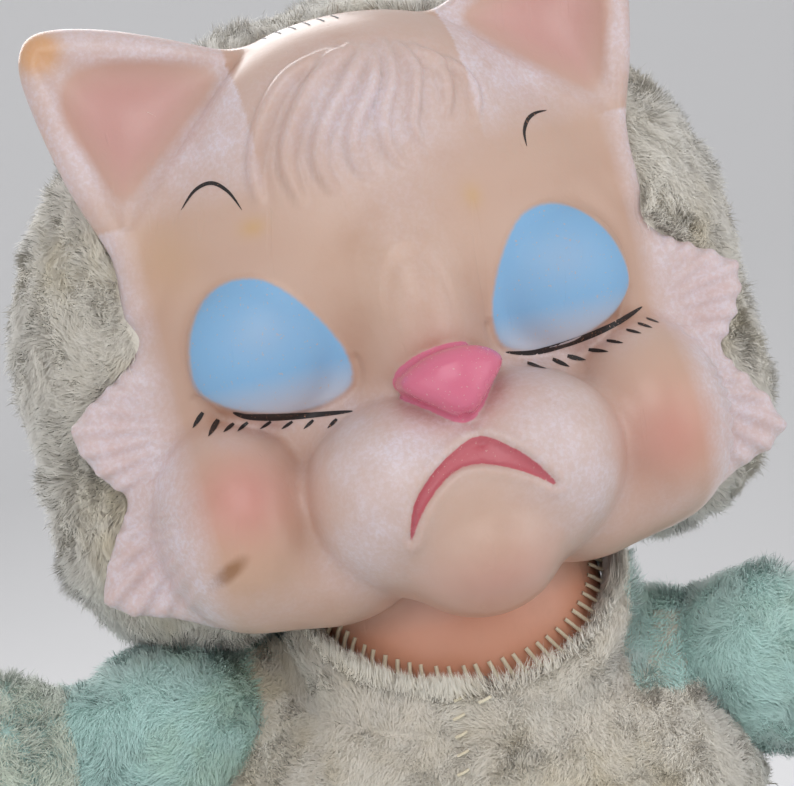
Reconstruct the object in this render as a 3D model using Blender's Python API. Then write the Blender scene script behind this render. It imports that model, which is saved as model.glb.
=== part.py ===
"""A sitting plush cat with a moulded vinyl face.

Metres, +Z up. The cat looks along -Y, so its own left side is at +X. The origin is on the
floor, in the middle of the flat seat. Every soft part is a cover of sewn panels around its
own stuffing. Limbs, tail and neck end in balls that sit in round sockets of the body, which
stand for the sewn joints that the real cloth bends at.
"""

import math

import bmesh
import bpy
from mathutils import Matrix, Vector

# Driving dimensions
NECK = Vector((0.0, 0.0, 0.168))  # centre of the neck ball
NECK_RADIUS = 0.036
HEAD_LEAN = math.radians(-8)  # the head rests leaning to the cat's own right
EYE_HEIGHT = 0.074  # from the neck's centre up to the middle between the eyes

VINYL = 0.0025  # wall of the face
CLOTH = 0.0030  # wall of a plush panel, backing and flattened pile
GAP = 0.0004  # between neighbouring pieces
PACKING = 0.0009  # between a cover and its stuffing
SOCKET_PLAY = 0.0010  # between a ball and its socket

THREAD_RADIUS = 0.0009
THREAD_RING = NECK_RADIUS + 0.0026  # how far the neck seam lies from the neck's centre
THREAD_CLEARANCE = 0.0020  # from the seam's centre line to the body's cover

BELLY_CENTRE, BELLY_RADII = Vector((0, 0.004, 0.052)), (0.077, 0.066, 0.066)
CHEST_CENTRE, CHEST_RADII = Vector((0, 0.002, 0.113)), (0.075, 0.056, 0.054)
WAIST_RADII = (0.075, 0.061, 0.048)
SEAT_RADIUS = 0.047

SHOULDER = Vector((0.077, 0.001, 0.146))  # the left one; the right one is its mirror image
SHOULDER_RADIUS = 0.026
ARM_RISE = {"left": math.radians(-26), "right": math.radians(-5)}  # above the horizontal
ARM_LENGTH = 0.090

HIP = Vector((0.050, -0.037, 0.0315))
HIP_RADIUS = 0.029
LEG_SPLAY = math.radians(20)
LEG_LENGTH = 0.122

TAIL_ROOT = Vector((0.0, 0.066, 0.0165))
TAIL_RADIUS = 0.0125
TAIL_LENGTH = 0.105

SIDES = {"left": 1, "right": -1}
BIG = 0.6  # side of a cutting block

CREAM = (0.72, 0.68, 0.55)
MINT = (0.42, 0.66, 0.59)
SKIN = (0.86, 0.63, 0.52)
COTTON = (0.88, 0.86, 0.80)


def clear_scene():
    for thing in list(bpy.data.objects):
        bpy.data.objects.remove(thing, do_unlink=True)


def material(name, colour, roughness):
    made = bpy.data.materials.new(name)
    made.use_nodes = True
    shader = made.node_tree.nodes["Principled BSDF"]
    shader.inputs["Base Color"].default_value = (*colour, 1)
    shader.inputs["Roughness"].default_value = roughness
    shader.inputs["Metallic"].default_value = 0
    made.diffuse_color = (*colour, 1)
    return made


def place(name, mesh, parent=None, look=None):
    made = bpy.data.objects.new(name, mesh)
    bpy.context.collection.objects.link(made)
    made.parent = parent
    if look:
        mesh.materials.clear()
        mesh.materials.append(look)
    return made


def helper(name, mesh, parent=None):
    made = place(name, mesh, parent)
    made.hide_render = True
    made.display_type = "WIRE"
    return made


def empty(name, location, turn=None, parent=None):
    made = bpy.data.objects.new(name, None)
    bpy.context.collection.objects.link(made)
    made.location = location
    if turn:
        made.rotation_euler = turn
    made.parent = parent
    return made


def ellipsoid(shape, centre, radii, segments=28, turn=None):
    """Adds an ellipsoid to a bmesh; turn is a rotation about its own centre."""
    where = Matrix.Translation(centre) @ (turn or Matrix.Identity(4)) @ Matrix.Diagonal((*radii, 1))
    bmesh.ops.create_uvsphere(
        shape, u_segments=segments, v_segments=segments // 2, radius=1, matrix=where
    )


def mesh_of(name, shape):
    made = bpy.data.meshes.new(name)
    shape.to_mesh(made)
    shape.free()
    return made


def evaluated_mesh(thing):
    bpy.context.view_layer.update()
    graph = bpy.context.evaluated_depsgraph_get()
    return bpy.data.meshes.new_from_object(thing.evaluated_get(graph), depsgraph=graph)


def fused(name, shape, voxel, triangles, wall):
    """Two smooth skins around all the overlapping forms of a bmesh: the outer one, with about
    so many triangles, and one that lies a wall's thickness inside it."""
    forms = mesh_of(name, shape)
    outer = skin_of(name, forms, voxel, triangles, 0)
    return outer, skin_of(f"{name}_inside", forms, voxel, triangles, -wall)


def skin_of(name, forms, voxel, triangles, distance):
    thing = place(name, forms.copy())
    remesh(thing, voxel)
    smooth = thing.modifiers.new("smooth", "SMOOTH")
    smooth.iterations = 4
    if distance:
        move = thing.modifiers.new("move", "DISPLACE")
        move.mid_level = 0
        move.strength = distance
        remesh(thing, voxel)
    dense = evaluated_mesh(thing)
    thin = thing.modifiers.new("thin", "DECIMATE")
    thin.ratio = min(1.0, triangles / (2 * len(dense.polygons)))
    skin = evaluated_mesh(thing)
    skin.name = name
    bpy.data.objects.remove(thing, do_unlink=True)
    return skin


def remesh(thing, voxel):
    change = thing.modifiers.new("remesh", "REMESH")
    change.mode = "VOXEL"
    change.voxel_size = voxel


def offset(thing, distance):
    """Moves the skin out along its normals, or in where distance is negative."""
    move = thing.modifiers.new("offset", "DISPLACE")
    move.mid_level = 0
    move.strength = distance
    return thing


def boolean(thing, operation, others):
    for other in others:
        change = thing.modifiers.new(operation.lower(), "BOOLEAN")
        change.operation = operation
        change.object = other
    return thing


def cut(thing, *others):
    return boolean(thing, "DIFFERENCE", others)


def keep(thing, *others):
    return boolean(thing, "INTERSECT", others)


def ball(name, centre, radius, parent=None, segments=16):
    shape = bmesh.new()
    ellipsoid(shape, centre, (radius,) * 3, segments)
    return helper(name, mesh_of(name, shape), parent)


def block(name, low, high, parent=None):
    """A cutting block between two corners, where None means far away."""
    low = Vector([-BIG if v is None else v for v in low])
    high = Vector([BIG if v is None else v for v in high])
    shape = bmesh.new()
    where = Matrix.Translation((low + high) / 2) @ Matrix.Diagonal((*(high - low), 1))
    bmesh.ops.create_cube(shape, size=1, matrix=where)
    return helper(name, mesh_of(name, shape), parent)


# --- head -----------------------------------------------------------------------------------


def face(x, up, depth):
    """A point of the head: right of the nose as seen, above the eyes, and forward of the neck."""
    return Vector((x, -depth, EYE_HEIGHT + up))


def both_sides(x, up, depth):
    return [face(side * x, up, depth) for side in SIDES.values()]


def mask_skin():
    """The outside of the vinyl face: one fused skin of its rounded forms, ears and cheek tufts."""
    shape = bmesh.new()
    ellipsoid(shape, face(0, 0.014, 0.008), (0.069, 0.046, 0.056))  # forehead
    ellipsoid(shape, face(0, -0.034, 0.010), (0.066, 0.042, 0.032))  # jaw
    ellipsoid(shape, face(0, -0.004, 0.044), (0.016, 0.021, 0.026), 16)  # nose bridge
    ellipsoid(shape, face(0, -0.026, 0.046), (0.027, 0.026, 0.020), 20)  # top of the muzzle
    ellipsoid(shape, face(0, -0.045, 0.046), (0.036, 0.030, 0.027))  # muzzle
    ellipsoid(shape, face(0, -0.055, 0.056), (0.019, 0.022, 0.014), 20)  # chin
    ellipsoid(shape, face(0, -0.017, 0.069), (0.0115, 0.010, 0.0075), 16)  # nose
    for centre in both_sides(0.045, -0.038, 0.032):
        ellipsoid(shape, centre, (0.026, 0.026, 0.027))  # cheek
    for centre in both_sides(0.034, 0.001, 0.040):
        ellipsoid(shape, centre, (0.017, 0.013, 0.018), 20)  # eyelid
    ellipsoid(shape, (0, 0, 0), (NECK_RADIUS,) * 3, 36)
    for side in SIDES.values():
        ear(shape, side)
        tufts(shape, side)
    return fused("mask_skin", shape, 0.003, 2000, VINYL)


def ear(shape, side):
    """An upright ear: a thick rounded triangle, leaning outwards."""
    base_inner = face(side * 0.018, 0.058, 0.026)
    base_outer = face(side * 0.058, 0.020, 0.024)
    tip = face(side * 0.070, 0.084, 0.022)
    middle = face(side * 0.050, 0.056, 0.024)
    for corner, size in ((base_inner, 0.010), (base_outer, 0.008), (tip, 0.006)):
        web(shape, corner, middle, size, 0.014)
    web(shape, base_inner, tip, 0.008, 0.006)
    web(shape, base_outer, tip, 0.008, 0.006)


def web(shape, start, end, start_radius, end_radius, steps=6):
    """A row of overlapping balls from one point to another, fused into a rounded bar later."""
    for step in range(steps + 1):
        share = step / steps
        radius = start_radius + (end_radius - start_radius) * share
        ellipsoid(shape, start.lerp(end, share), (radius, radius * 0.75, radius), 12)


def tufts(shape, side):
    """Two moulded tufts of cheek fur that flare out over the plush."""
    for root, tip in (
        (face(side * 0.058, -0.010, 0.030), face(side * 0.077, -0.010, 0.028)),
        (face(side * 0.060, -0.044, 0.028), face(side * 0.077, -0.048, 0.027)),
    ):
        web(shape, root, tip, 0.012, 0.0055)


def hood_skin():
    """The outside of the plush head, with its nape around the neck ball."""
    shape = bmesh.new()
    ellipsoid(shape, face(0, 0.004, -0.012), (0.094, 0.060, 0.079), 40)
    for centre in both_sides(0.060, -0.026, -0.008):
        ellipsoid(shape, centre, (0.033, 0.030, 0.034), 20)  # jowl
    ellipsoid(shape, (0, 0.0015, 0), (NECK_RADIUS - 0.0010,) * 3, 36)
    return fused("hood_skin", shape, 0.0045, 700, 2 * CLOTH)


def build_head(looks):
    frame = empty("head", NECK, (0, HEAD_LEAN, 0))
    mask, mask_core = mask_skin()
    hood, hood_core = hood_skin()
    front = block("face_side", (None, None, None), (None, -0.002 + GAP, None), frame)
    back = block("nape_side", (None, -0.002, None), (None, None, None), frame)
    below_face = block("under_face_edge", (None, None, None), (None, None, -0.021), frame)
    below_hood = block("under_hood_edge", (None, None, None), (None, None, -0.014), frame)
    socket = ball("neck_hollow", (0, 0, 0), NECK_RADIUS - VINYL, frame, 24)

    mask_inside = helper("mask_inside", mask_core.copy(), frame)
    mask_room = keep(offset(helper("mask_room", mask.copy(), frame), PACKING), front)
    hood_inside = helper("hood_inside", hood_core.copy(), frame)

    shell = place("face_mask", mask, frame, looks["vinyl"])
    cut(shell, mask_inside, hood_inside, back, below_face, socket)

    halves = {
        "left": block("left_half", (GAP / 2, None, None), (None, None, None), frame),
        "right": block("right_half", (None, None, None), (-GAP / 2, None, None), frame),
    }
    for side, half in halves.items():
        panel = place(f"hood_{side}", hood.copy(), frame, looks["cream"])
        cut(panel, hood_inside, mask_room, below_hood, socket)
        keep(panel, half)

    stuffing = offset(place("head_stuffing", hood_core.copy(), frame, looks["cotton"]), -PACKING)
    face_filling = offset(helper("face_filling", mask_core.copy(), frame), -PACKING)
    boolean(stuffing, "UNION", [face_filling])
    neck_room = ball("neck_room", (0, 0, 0), NECK_RADIUS - VINYL + GAP, frame, 24)
    cut(stuffing, neck_room, block("under_head", (None, None, None), (None, None, 0.004), frame))

    shape = bmesh.new()
    ellipsoid(shape, (0, 0, 0), (NECK_RADIUS - VINYL - SOCKET_PLAY,) * 3, 24)
    place("neck_stuffing", mesh_of("neck_stuffing", shape), frame, looks["cotton"])


# --- body -----------------------------------------------------------------------------------


def body_skin():
    shape = bmesh.new()
    ellipsoid(shape, BELLY_CENTRE, BELLY_RADII, 40)
    ellipsoid(shape, (BELLY_CENTRE + CHEST_CENTRE) / 2, WAIST_RADII, 40)
    ellipsoid(shape, CHEST_CENTRE, CHEST_RADII, 40)
    return fused("body_skin", shape, 0.004, 800, CLOTH)


def sockets(play):
    """Cutting balls for the neck, shoulders, hips and tail."""
    made = [ball("neck_socket", NECK, NECK_RADIUS + play, None, 28)]
    for side, sign in SIDES.items():
        mirror = Vector((sign, 1, 1))
        made.append(ball(f"{side}_shoulder_socket", SHOULDER * mirror, SHOULDER_RADIUS + play))
        made.append(ball(f"{side}_hip_socket", HIP * mirror, HIP_RADIUS + play))
    made.append(ball("tail_socket", TAIL_ROOT, TAIL_RADIUS + play))
    return made


def build_body(looks):
    skin, core = body_skin()
    holes = sockets(SOCKET_PLAY)
    inside = helper("body_inside", core.copy())
    above_seat = block("above_seat", (None, None, CLOTH + GAP), (None, None, None))
    corners = {
        "chest_panel_left": ((GAP / 2, None, None), (None, -GAP / 2, None), "cream"),
        "chest_panel_right": ((None, None, None), (-GAP / 2, -GAP / 2, None), "cream"),
        "back_panel_left": ((GAP / 2, GAP / 2, None), (None, None, None), "mint"),
        "back_panel_right": ((None, GAP / 2, None), (-GAP / 2, None, None), "mint"),
    }
    for name, (low, high, look) in corners.items():
        panel = place(name, skin.copy(), None, looks[look])
        cut(panel, inside, *holes)
        keep(panel, block(f"{name}_region", low, high), above_seat)

    stuffing = offset(place("body_stuffing", core, None, looks["cotton"]), -PACKING)
    cut(stuffing, *holes)
    keep(stuffing, above_seat)

    seat = bmesh.new()
    bmesh.ops.create_cone(
        seat, cap_ends=True, segments=48, radius1=SEAT_RADIUS, radius2=SEAT_RADIUS + 0.002,
        depth=CLOTH, matrix=Matrix.Translation((0, 0.004, CLOTH / 2)),
    )
    cut(place("seat_panel", mesh_of("seat_panel", seat), None, looks["mint"]), *holes)


def collar_point(turn):
    """A point of the neck seam: just off the neck ball and just above the rim of the body."""
    low, high = math.radians(-70), math.radians(20)
    around = Vector((math.cos(turn), math.sin(turn), 0))
    for _ in range(24):
        slope = (low + high) / 2
        spot = NECK + THREAD_RING * (around * math.cos(slope) + Vector((0, 0, math.sin(slope))))
        away = spot - CHEST_CENTRE
        grown = [away[axis] / (CHEST_RADII[axis] + THREAD_CLEARANCE) for axis in range(3)]
        if Vector(grown).length < 1:
            low = slope
        else:
            high = slope
    return spot


def build_neck_thread(looks):
    """The thread that sews the vinyl neck to the collar, as a plain cord in the seam."""
    points = 40
    route = bpy.data.curves.new("neck_thread", "CURVE")
    route.dimensions = "3D"
    route.bevel_depth = THREAD_RADIUS
    route.bevel_resolution = 2
    line = route.splines.new("POLY")
    line.points.add(points - 1)
    line.use_cyclic_u = True
    for number, point in enumerate(line.points):
        point.co = (*collar_point(2 * math.pi * number / points), 1)
    place("neck_thread", route, None, looks["thread"])


# --- limbs ----------------------------------------------------------------------------------


def limb(name, skins, frame, looks, joint_radius, seam_normal, look):
    """A stuffed limb: two cover panels with a seam between them, around a core of stuffing."""
    skin, core = skins
    inside = helper(f"{name}_inside", core, frame)
    seam = Vector(seam_normal).normalized().to_track_quat("Z", "Y").to_matrix().to_4x4()
    for half, sign in (("outer", 1), ("inner", -1)):
        panel = place(f"{name}_{half}", skin.copy(), frame, looks[look])
        shape = bmesh.new()
        middle = Matrix.Translation((0, 0, sign * (BIG / 2 + GAP / 2)))
        bmesh.ops.create_cube(shape, size=BIG, matrix=seam @ middle)
        keep(panel, helper(f"{name}_{half}_region", mesh_of(f"{name}_{half}_region", shape), frame))
        cut(panel, inside, mouth_cut(name, half, frame, joint_radius))
    offset(place(f"{name}_stuffing", core.copy(), frame, looks["cotton"]), -PACKING)


def mouth_cut(name, half, frame, joint_radius):
    """Opens the cover where it is gathered into the body, deep inside its socket."""
    shape = bmesh.new()
    depth = joint_radius * 0.62
    where = Matrix.Translation((-depth - joint_radius, 0, 0))
    bmesh.ops.create_cube(shape, size=2 * joint_radius, matrix=where)
    return helper(f"{name}_{half}_mouth", mesh_of(f"{name}_{half}_mouth", shape), frame)


def along(length, drop=0.0, rise=0.0):
    """A point of a limb's own frame, whose +X runs down the limb."""
    return Vector((length, 0, rise - drop))


def build_arm(side, sign, looks):
    turn = (0, -ARM_RISE[side], 0) if sign > 0 else (0, math.pi + ARM_RISE[side], 0)
    frame = empty(f"arm_{side}", SHOULDER * Vector((sign, 1, 1)), turn)
    shape = bmesh.new()
    ellipsoid(shape, (0, 0, 0), (SHOULDER_RADIUS,) * 3)
    upper, paw = 0.026, ARM_LENGTH - 0.030
    ellipsoid(shape, along(upper), (0.024, 0.0225, 0.0235))
    ellipsoid(shape, along((upper + paw) / 2), (0.024, 0.0245, 0.0255))
    ellipsoid(shape, along(paw), (0.030, 0.029, 0.0305))
    skins = fused(f"arm_{side}_skin", shape, 0.003, 320, CLOTH)
    limb(f"arm_{side}", skins, frame, looks, SHOULDER_RADIUS, (0, 1, 0), "mint")


def build_leg(side, sign, looks):
    turn = (0, 0, -math.pi / 2 + sign * LEG_SPLAY)
    frame = empty(f"leg_{side}", HIP * Vector((sign, 1, 1)), turn)
    sole_at = LEG_LENGTH - 0.004
    shape = bmesh.new()
    ellipsoid(shape, (0, 0, 0), (HIP_RADIUS - 0.0003,) * 3)
    ellipsoid(shape, along(0.036, 0.002), (0.040, 0.028, 0.0290))
    ellipsoid(shape, along(0.070, 0.002), (0.038, 0.027, 0.0290))
    ellipsoid(shape, along(LEG_LENGTH - 0.026, 0, 0.006), (0.026, 0.030, 0.0372))
    skins = fused(f"leg_{side}_skin", shape, 0.0035, 380, CLOTH)
    name = f"leg_{side}"
    limb(name, skins, frame, looks, HIP_RADIUS, (0, sign, 0), "mint")
    sole_room = block(f"{name}_sole_room", (sole_at - 0.003 - GAP, None, None), (None,) * 3, frame)
    for piece in ("outer", "inner", "stuffing"):
        cut(bpy.data.objects[f"{name}_{piece}"], sole_room)
    sole = place(f"{name}_sole", skins[0].copy(), frame, looks["cream"])
    keep(sole, block(f"{name}_sole_region", (sole_at - 0.003, None, None), (None,) * 3, frame))


def build_tail(looks):
    frame = empty("tail", TAIL_ROOT, (0, 0, math.pi / 2))
    shape = bmesh.new()
    steps = 16
    for step in range(steps + 1):
        share = step / steps
        bend = math.radians(70) * share
        reach = TAIL_LENGTH * share
        spot = Vector((reach * math.cos(bend / 2), reach * math.sin(bend / 2) * 0.9, 0))
        radius = TAIL_RADIUS * (1 + 0.25 * math.sin(math.pi * share))
        lift = radius - TAIL_RADIUS
        ellipsoid(shape, spot + Vector((0, 0, lift)), (radius,) * 3, 16)
    skins = fused("tail_skin", shape, 0.0025, 260, CLOTH)
    limb("tail", skins, frame, looks, TAIL_RADIUS, (0, 0, 1), "mint")


def main():
    clear_scene()
    looks = {
        "vinyl": material("vinyl", SKIN, 0.42),
        "cream": material("cream_plush", CREAM, 0.95),
        "mint": material("mint_plush", MINT, 0.95),
        "cotton": material("cotton_stuffing", COTTON, 0.95),
        "thread": material("thread", (0.86, 0.82, 0.68), 0.8),
    }
    build_head(looks)
    build_body(looks)
    build_neck_thread(looks)
    for side, sign in SIDES.items():
        build_arm(side, sign, looks)
        build_leg(side, sign, looks)
    build_tail(looks)


main()
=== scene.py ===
"""Looks of the sitting plush cat: the painted vinyl face, the pile and the hand stitching.

Shapes are worked out in millimetres. The head's own coordinates are x (to the right as seen),
u (up from the middle between the eyes) and d (forward from the neck's centre).
"""

import math

import bpy
import numpy as np
from mathutils import Matrix, Vector
from mathutils.bvhtree import BVHTree


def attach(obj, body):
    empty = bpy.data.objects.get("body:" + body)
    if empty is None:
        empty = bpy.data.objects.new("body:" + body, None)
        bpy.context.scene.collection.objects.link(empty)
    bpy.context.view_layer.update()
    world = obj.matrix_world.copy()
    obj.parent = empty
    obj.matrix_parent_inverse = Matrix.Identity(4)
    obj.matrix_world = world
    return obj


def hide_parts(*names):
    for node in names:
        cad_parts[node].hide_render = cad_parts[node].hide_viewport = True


# Driving sizes, as in the CAD model
NECK = np.array((0.0, 0.0, 168.0))
NECK_RADIUS = 36.0
HEAD_LEAN = math.radians(-8)
EYE_HEIGHT = 74.0
MASK_BACK = 2.0  # the vinyl ends this far forward of the neck's centre
SHOULDER = np.array((77.0, 1.0, 146.0))
ARM_RISE = {"left": math.radians(-26), "right": math.radians(-5)}
HIP = np.array((50.0, -37.0, 31.5))
LEG_SPLAY = math.radians(20)
TAIL_ROOT = np.array((0.0, 66.0, 16.5))
SIDES = {"left": 1, "right": -1}
FACE_STEP, CLOTH_STEP = ((0.92, 2.0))  # cell sizes of the distance fields
THIN = 1.0  # how much of the pile is grown


def srgb(r, g, b):
    """An sRGB colour, 0 to 255, as the linear colour that shaders take."""
    c = np.array((r, g, b), float) / 255
    return tuple(np.where(c <= 0.04045, c / 12.92, ((c + 0.055) / 1.055) ** 2.4))


def shade(colour, share):
    return tuple(share * c for c in colour)


PEACH = srgb(206, 174, 156)
BLUSH = srgb(206, 126, 122)
SPRAY = srgb(224, 211, 217)
EAR_PINK = srgb(210, 156, 152)
NECK_TAN = srgb(226, 158, 128)
UMBER = srgb(176, 124, 96)
TAN = srgb(204, 160, 122)
YELLOW = srgb(206, 164, 100)
WORN_TAN = srgb(216, 160, 104)
LID_BLUE = srgb(132, 180, 220)
LID_PALE = srgb(188, 192, 206)
NOSE_PINK = srgb(220, 116, 144)
MOUTH_PINK = srgb(198, 102, 112)
INK = srgb(34, 28, 28)
CREAM = srgb(253, 246, 232)
CREAM_STAIN = srgb(222, 204, 156)
MINT = srgb(206, 243, 236)
MINT_STAIN = srgb(196, 222, 188)
PAW = srgb(230, 240, 224)
PAW_STAIN = srgb(222, 214, 172)
THREAD = srgb(244, 234, 206)
SCUFF_BROWN = srgb(150, 104, 66)


# --- frames

LEAN = np.array(Matrix.Rotation(HEAD_LEAN, 3, "Y"))


def head_to_world(points):
    """Head coordinates x, u, d to millimetres in the row frame."""
    local = np.stack((points[:, 0], -points[:, 2], points[:, 1] + EYE_HEIGHT), 1)
    return local @ LEAN.T + NECK


def world_to_head(points):
    local = (points - NECK) @ LEAN
    return np.stack((local[:, 0], local[:, 2] - EYE_HEIGHT, -local[:, 1]), 1)


def unit(v):
    return v / np.maximum(np.linalg.norm(v, axis=1, keepdims=True), 1e-9)


# --- distance fields


def ellipsoid(p, centre, radii):
    """Signed distance, near enough, from the points p to an ellipsoid."""
    q = (p - np.array(centre)) / np.array(radii)
    k0 = np.linalg.norm(q, axis=-1)
    k1 = np.linalg.norm(q / np.array(radii), axis=-1)
    return k0 * (k0 - 1) / np.maximum(k1, 1e-6)


def capsule(p, a, b, radius):
    along = np.clip(((p - a) @ (b - a)) / ((b - a) @ (b - a)), 0, 1)
    return np.linalg.norm(p - a - along[..., None] * (b - a), axis=-1) - radius


def to_segment(x, y, a, b):
    """Distance to a stretch of straight line, and the share of it where the nearest point is."""
    (ax, ay), (ex, ey) = a, b - a
    t = np.clip(((x - ax) * ex + (y - ay) * ey) / (ex * ex + ey * ey), 0, 1)
    return np.hypot(x - ax - t * ex, y - ay - t * ey), t


def polygon(x, y, corners):
    """Signed distance from points of a plane to a closed outline."""
    corners = np.array(corners, float)
    best = np.full(x.shape, 1e9)
    inside = np.zeros(x.shape, bool)
    for a, b in zip(corners, np.roll(corners, -1, 0)):
        best = np.minimum(best, to_segment(x, y, a, b)[0])
        (ax, ay), (bx, by) = a, b
        crosses = (ay > y) != (by > y)
        with np.errstate(divide="ignore", invalid="ignore"):
            inside ^= crosses & (x < (bx - ax) * (y - ay) / (by - ay) + ax)
    return np.where(inside, -best, best)


def curve_through(points, steps=8, closed=False):
    """A smooth line through a few given points (Catmull-Rom)."""
    points = np.array(points, float)
    count = len(points)
    line = []
    for i in range(count if closed else count - 1):
        near = np.arange(i - 1, i + 3)
        p0, p1, p2, p3 = points[near % count if closed else np.clip(near, 0, count - 1)]
        for t in np.arange(steps) / steps:
            line.append(
                0.5 * (2 * p1 + (p2 - p0) * t + (2 * p0 - 5 * p1 + 4 * p2 - p3) * t**2
                       + (3 * p1 - p0 - 3 * p2 + p3) * t**3)
            )
    if not closed:
        line.append(points[-1])
    return np.array(line)


def distance_to_line(x, y, line):
    """Distance to an open line, and how far along it the nearest point is, 0 to 1."""
    best, where = np.full(x.shape, 1e9), np.zeros(x.shape)
    for i, (a, b) in enumerate(zip(line, line[1:])):
        far, t = to_segment(x, y, a, b)
        nearer = far < best
        best = np.where(nearer, far, best)
        where = np.where(nearer, (i + t) / (len(line) - 1), where)
    return best, where


def joined(a, b, k):
    """Smooth union of two distance fields."""
    h = np.clip(0.5 + 0.5 * (b - a) / k, 0, 1)
    return b + (a - b) * h - k * h * (1 - h)


def carved(a, b, k):
    """The field a with b smoothly taken away."""
    return -joined(-a, b, k)


class Field:
    """A distance field sampled on a box of cells, built form by form."""

    def __init__(self, low, high, step):
        self.low, self.step = np.array(low, float), step
        counts = np.ceil((np.array(high) - low) / step).astype(int) + 1
        self.axes = [self.low[i] + step * np.arange(counts[i]) for i in range(3)]
        self.values = np.full(counts, 1e3, np.float32)

    def window(self, low, high):
        cuts = [slice(*np.searchsorted(self.axes[i], (low[i], high[i]))) for i in range(3)]
        grid = np.meshgrid(*(self.axes[i][cuts[i]] for i in range(3)), indexing="ij")
        return tuple(cuts), np.stack(grid, -1)

    def add(self, form, low, high, k, carve=False):
        """Joins, or carves, a form that lies inside the box low to high."""
        pad = k + 3 * self.step
        cuts, p = self.window(np.array(low) - pad, np.array(high) + pad)
        if p.size:
            blend = carved if carve else joined
            self.values[cuts] = blend(self.values[cuts], form(p).astype(np.float32), k)

    def blob(self, centre, radii, k):
        centre, radii = np.array(centre, float), np.array(radii, float)
        self.add(lambda p: ellipsoid(p, centre, radii), centre - radii, centre + radii, k)

    def bar(self, a, b, radius, k):
        low, high = np.minimum(a, b) - radius, np.maximum(a, b) + radius
        self.add(lambda p: capsule(p, a, b, radius), low, high, k)

    def keep(self, form):
        """Keeps only what is also inside a form."""
        grid = np.stack(np.meshgrid(*self.axes, indexing="ij"), -1)
        self.values = np.maximum(self.values, form(grid)).astype(np.float32)

    def at(self, points):
        """The field at any points, by straight interpolation."""
        q = (points - self.low) / self.step
        top = np.array(self.values.shape) - 2
        i = np.clip(np.floor(q).astype(int), 0, top)
        f = np.clip(q - i, 0, 1)
        total = 0
        for corner in np.ndindex(2, 2, 2):
            weight = np.prod(np.where(corner, f, 1 - f), axis=1)
            total = total + weight * self.values[tuple((i + corner).T)]
        return total

    def slope(self, points, reach=1.0):
        """The direction in which the field grows."""
        steps = np.eye(3) * reach
        g = np.stack([self.at(points + s) - self.at(points - s) for s in steps], 1)
        return unit(g)

    def surface(self):
        """Points and quads of the surface, one point to each cell that it crosses."""
        f, inside = self.values, self.values < 0
        cells = np.array(f.shape) - 1
        total, count = np.zeros((*cells, 3), np.float32), np.zeros(cells, np.float32)
        step = np.eye(3, dtype=int)
        crossings = []

        def within(cell):
            return np.all((cell >= 0) & (cell < cells), axis=1)

        for axis in range(3):
            near, far = [slice(None)] * 3, [slice(None)] * 3
            near[axis], far[axis] = slice(None, -1), slice(1, None)
            near, far = tuple(near), tuple(far)
            cross = inside[near] != inside[far]
            a, b = f[near][cross], f[far][cross]
            at = np.argwhere(cross)
            crossings.append((at, inside[near][cross]))
            spot = at.astype(np.float32)
            spot[:, axis] += a / (a - b)
            u, v = np.delete(step, axis, 0)
            for cell in (at, at - v, at - u, at - u - v):
                ok = within(cell)
                index = tuple(cell[ok].T)
                np.add.at(total, index, spot[ok])
                np.add.at(count, index, 1)
        used = count > 0
        number = np.full(cells, -1)
        number[used] = np.arange(used.sum())
        points = self.low + self.step * (total[used] / count[used][:, None])
        quads = []
        for axis, (at, starts_inside) in enumerate(crossings):
            u, v = step[(axis + 1) % 3], step[(axis + 2) % 3]
            ring = (at, at - u, at - u - v, at - v)
            ok = np.all([within(cell) for cell in ring], axis=0)
            faces = np.stack([number[tuple(cell[ok].T)] for cell in ring], 1)
            flip = ~starts_inside[ok]
            faces[flip] = faces[flip][:, ::-1]
            quads.append(faces)
        return points, np.concatenate(quads)


# --- meshes


def add_object(name, data):
    made = bpy.data.objects.new(name, data)
    bpy.context.collection.objects.link(made)
    return made


def build_mesh(name, points, faces, look):
    """A mesh object from points in millimetres of the row frame and equal-sided faces."""
    mesh = bpy.data.meshes.new(name)
    sides = faces.shape[1]
    mesh.vertices.add(len(points))
    mesh.vertices.foreach_set("co", (points / 1000).astype(np.float32).ravel())
    mesh.loops.add(faces.size)
    mesh.loops.foreach_set("vertex_index", faces.astype(np.int32).ravel())
    mesh.polygons.add(len(faces))
    mesh.polygons.foreach_set("loop_start", np.arange(0, faces.size, sides, dtype=np.int32))
    mesh.update(calc_edges=True)
    mesh.validate()
    mesh.shade_smooth()
    mesh.materials.append(look)
    return add_object(name, mesh)


def colour_points(thing, name, colours):
    layer = thing.data.color_attributes.new(name, "FLOAT_COLOR", "POINT")
    rgba = np.ones((len(colours), 4), np.float32)
    rgba[:, : colours.shape[1]] = colours
    layer.data.foreach_set("color", rgba.ravel())


def number_points(thing, name, values):
    layer = thing.data.attributes.new(name, "FLOAT", "POINT")
    layer.data.foreach_set("value", values.astype(np.float32))


def point_normals(points, quads):
    a, b, c, d = (points[quads[:, i]] for i in range(4))
    face = np.cross(c - a, d - b)
    total = np.zeros_like(points)
    for i in range(4):
        np.add.at(total, quads[:, i], face)
    return unit(total)


def merge(pieces):
    """Several pairs of points and quads as one pair."""
    firsts = np.cumsum([0] + [len(points) for points, _ in pieces])
    quads = [quads + first for (_, quads), first in zip(pieces, firsts)]
    return np.concatenate([points for points, _ in pieces]), np.concatenate(quads)


def settle(thing, body):
    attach(thing, body)


# --- materials


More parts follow.
